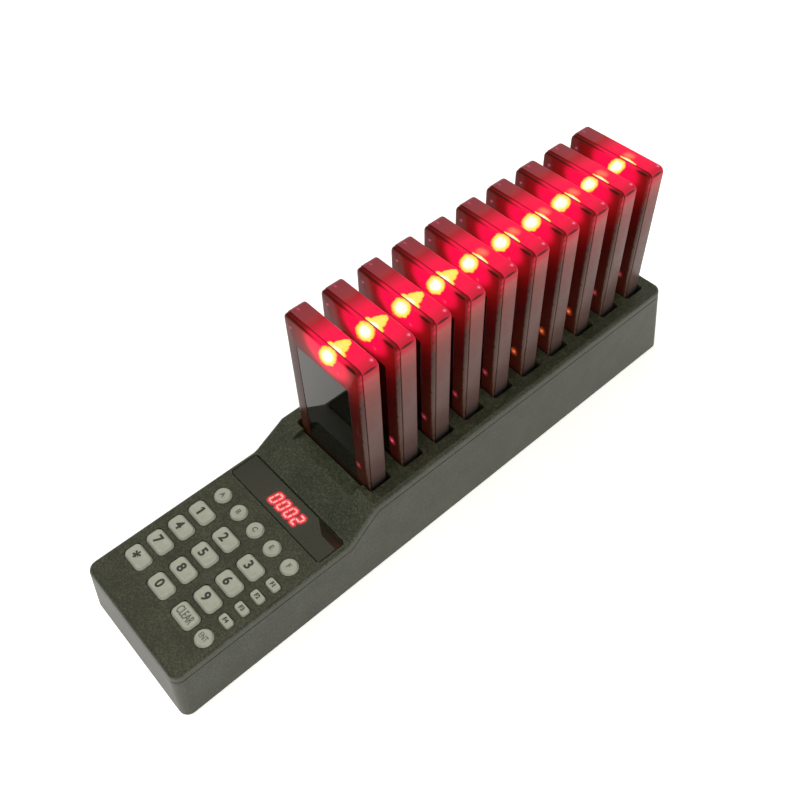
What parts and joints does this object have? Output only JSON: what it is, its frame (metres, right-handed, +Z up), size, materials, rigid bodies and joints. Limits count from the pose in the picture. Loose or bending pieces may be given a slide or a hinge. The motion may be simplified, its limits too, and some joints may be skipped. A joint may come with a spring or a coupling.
{
  "type": "guest pager system",
  "caption": "Counter-top guest paging station with a keypad deck, a digit display and a raised charging dock from which slim pagers lift out.",
  "frame": {"origin": "on the table under the middle of the housing", "axes": "+X to the user's right, +Y from the keypad towards the pagers, +Z up"},
  "size_m": [0.0864, 0.36, 0.1357],
  "materials": {
    "housing": "fine matte texture, dark olive grey",
    "window": "smoked glossy display window",
    "mat": "silicone keypad mat",
    "board": "green circuit board with solder mask",
    "contact": "gold-plated pins",
    "foot": "soft black rubber",
    "screw": "zinc plated",
    "keycap": "light grey keycaps",
    "pager_shell": "translucent smoked red, satin",
    "works": "board, battery and lamps"
  },
  "bodies": {
    "station": {"base_tray": "housing", "top_cover": "housing", "display_window": "window", "keypad_mat": "mat", "circuit_boards": "board", "charge_pins": "contact", "rubber_feet": "foot", "housing_screws": "screw"},
    "key_1": {"key_1": "keycap"},
    "key_2": {"key_2": "keycap"},
    "key_3": {"key_3": "keycap"},
    "key_4": {"key_4": "keycap"},
    "key_5": {"key_5": "keycap"},
    "key_6": {"key_6": "keycap"},
    "key_7": {"key_7": "keycap"},
    "key_8": {"key_8": "keycap"},
    "key_9": {"key_9": "keycap"},
    "key_star": {"key_star": "keycap"},
    "key_0": {"key_0": "keycap"},
    "key_clear": {"key_clear": "keycap"},
    "key_a": {"key_a": "keycap"},
    "key_b": {"key_b": "keycap"},
    "key_c": {"key_c": "keycap"},
    "key_e": {"key_e": "keycap"},
    "key_f": {"key_f": "keycap"},
    "key_f1": {"key_f1": "keycap"},
    "key_f2": {"key_f2": "keycap"},
    "key_f3": {"key_f3": "keycap"},
    "key_f4": {"key_f4": "keycap"},
    "key_enter": {"key_enter": "keycap"},
    "pager_1": {"pager_1_front": "pager_shell", "pager_1_rear": "pager_shell", "pager_1_works": "works"},
    "pager_2": {"pager_2_front": "pager_shell", "pager_2_rear": "pager_shell", "pager_2_works": "works"},
    "pager_3": {"pager_3_front": "pager_shell", "pager_3_rear": "pager_shell", "pager_3_works": "works"},
    "pager_4": {"pager_4_front": "pager_shell", "pager_4_rear": "pager_shell", "pager_4_works": "works"},
    "pager_5": {"pager_5_front": "pager_shell", "pager_5_rear": "pager_shell", "pager_5_works": "works"},
    "pager_6": {"pager_6_front": "pager_shell", "pager_6_rear": "pager_shell", "pager_6_works": "works"},
    "pager_7": {"pager_7_front": "pager_shell", "pager_7_rear": "pager_shell", "pager_7_works": "works"},
    "pager_8": {"pager_8_front": "pager_shell", "pager_8_rear": "pager_shell", "pager_8_works": "works"},
    "pager_9": {"pager_9_front": "pager_shell", "pager_9_rear": "pager_shell", "pager_9_works": "works"},
    "pager_10": {"pager_10_front": "pager_shell", "pager_10_rear": "pager_shell", "pager_10_works": "works"}
  },
  "joints": [
    {"name": "key_1_press", "type": "slide", "parent": "station", "child": "key_1", "axis": [0, 0, -1], "range_m": [0, 0.001], "stiffness_N_per_m": 400},
    {"name": "key_2_press", "type": "slide", "parent": "station", "child": "key_2", "axis": [0, 0, -1], "range_m": [0, 0.001], "stiffness_N_per_m": 400},
    {"name": "key_3_press", "type": "slide", "parent": "station", "child": "key_3", "axis": [0, 0, -1], "range_m": [0, 0.001], "stiffness_N_per_m": 400},
    {"name": "key_4_press", "type": "slide", "parent": "station", "child": "key_4", "axis": [0, 0, -1], "range_m": [0, 0.001], "stiffness_N_per_m": 400},
    {"name": "key_5_press", "type": "slide", "parent": "station", "child": "key_5", "axis": [0, 0, -1], "range_m": [0, 0.001], "stiffness_N_per_m": 400},
    {"name": "key_6_press", "type": "slide", "parent": "station", "child": "key_6", "axis": [0, 0, -1], "range_m": [0, 0.001], "stiffness_N_per_m": 400},
    {"name": "key_7_press", "type": "slide", "parent": "station", "child": "key_7", "axis": [0, 0, -1], "range_m": [0, 0.001], "stiffness_N_per_m": 400},
    {"name": "key_8_press", "type": "slide", "parent": "station", "child": "key_8", "axis": [0, 0, -1], "range_m": [0, 0.001], "stiffness_N_per_m": 400},
    {"name": "key_9_press", "type": "slide", "parent": "station", "child": "key_9", "axis": [0, 0, -1], "range_m": [0, 0.001], "stiffness_N_per_m": 400},
    {"name": "key_star_press", "type": "slide", "parent": "station", "child": "key_star", "axis": [0, 0, -1], "range_m": [0, 0.001], "stiffness_N_per_m": 400},
    {"name": "key_0_press", "type": "slide", "parent": "station", "child": "key_0", "axis": [0, 0, -1], "range_m": [0, 0.001], "stiffness_N_per_m": 400},
    {"name": "key_clear_press", "type": "slide", "parent": "station", "child": "key_clear", "axis": [0, 0, -1], "range_m": [0, 0.001], "stiffness_N_per_m": 400},
    {"name": "key_a_press", "type": "slide", "parent": "station", "child": "key_a", "axis": [0, 0, -1], "range_m": [0, 0.001], "stiffness_N_per_m": 400},
    {"name": "key_b_press", "type": "slide", "parent": "station", "child": "key_b", "axis": [0, 0, -1], "range_m": [0, 0.001], "stiffness_N_per_m": 400},
    {"name": "key_c_press", "type": "slide", "parent": "station", "child": "key_c", "axis": [0, 0, -1], "range_m": [0, 0.001], "stiffness_N_per_m": 400},
    {"name": "key_e_press", "type": "slide", "parent": "station", "child": "key_e", "axis": [0, 0, -1], "range_m": [0, 0.001], "stiffness_N_per_m": 400},
    {"name": "key_f_press", "type": "slide", "parent": "station", "child": "key_f", "axis": [0, 0, -1], "range_m": [0, 0.001], "stiffness_N_per_m": 400},
    {"name": "key_f1_press", "type": "slide", "parent": "station", "child": "key_f1", "axis": [0, 0, -1], "range_m": [0, 0.001], "stiffness_N_per_m": 400},
    {"name": "key_f2_press", "type": "slide", "parent": "station", "child": "key_f2", "axis": [0, 0, -1], "range_m": [0, 0.001], "stiffness_N_per_m": 400},
    {"name": "key_f3_press", "type": "slide", "parent": "station", "child": "key_f3", "axis": [0, 0, -1], "range_m": [0, 0.001], "stiffness_N_per_m": 400},
    {"name": "key_f4_press", "type": "slide", "parent": "station", "child": "key_f4", "axis": [0, 0, -1], "range_m": [0, 0.001], "stiffness_N_per_m": 400},
    {"name": "key_enter_press", "type": "slide", "parent": "station", "child": "key_enter", "axis": [0, 0, -1], "range_m": [0, 0.001], "stiffness_N_per_m": 400},
    {"name": "pager_1_lift", "type": "slide", "parent": "station", "child": "pager_1", "axis": [0, 0, 1], "range_m": [0, 0.08]},
    {"name": "pager_2_lift", "type": "slide", "parent": "station", "child": "pager_2", "axis": [0, 0, 1], "range_m": [0, 0.08]},
    {"name": "pager_3_lift", "type": "slide", "parent": "station", "child": "pager_3", "axis": [0, 0, 1], "range_m": [0, 0.08]},
    {"name": "pager_4_lift", "type": "slide", "parent": "station", "child": "pager_4", "axis": [0, 0, 1], "range_m": [0, 0.08]},
    {"name": "pager_5_lift", "type": "slide", "parent": "station", "child": "pager_5", "axis": [0, 0, 1], "range_m": [0, 0.08]},
    {"name": "pager_6_lift", "type": "slide", "parent": "station", "child": "pager_6", "axis": [0, 0, 1], "range_m": [0, 0.08]},
    {"name": "pager_7_lift", "type": "slide", "parent": "station", "child": "pager_7", "axis": [0, 0, 1], "range_m": [0, 0.08]},
    {"name": "pager_8_lift", "type": "slide", "parent": "station", "child": "pager_8", "axis": [0, 0, 1], "range_m": [0, 0.08]},
    {"name": "pager_9_lift", "type": "slide", "parent": "station", "child": "pager_9", "axis": [0, 0, 1], "range_m": [0, 0.08]},
    {"name": "pager_10_lift", "type": "slide", "parent": "station", "child": "pager_10", "axis": [0, 0, 1], "range_m": [0, 0.08]}
  ]
}
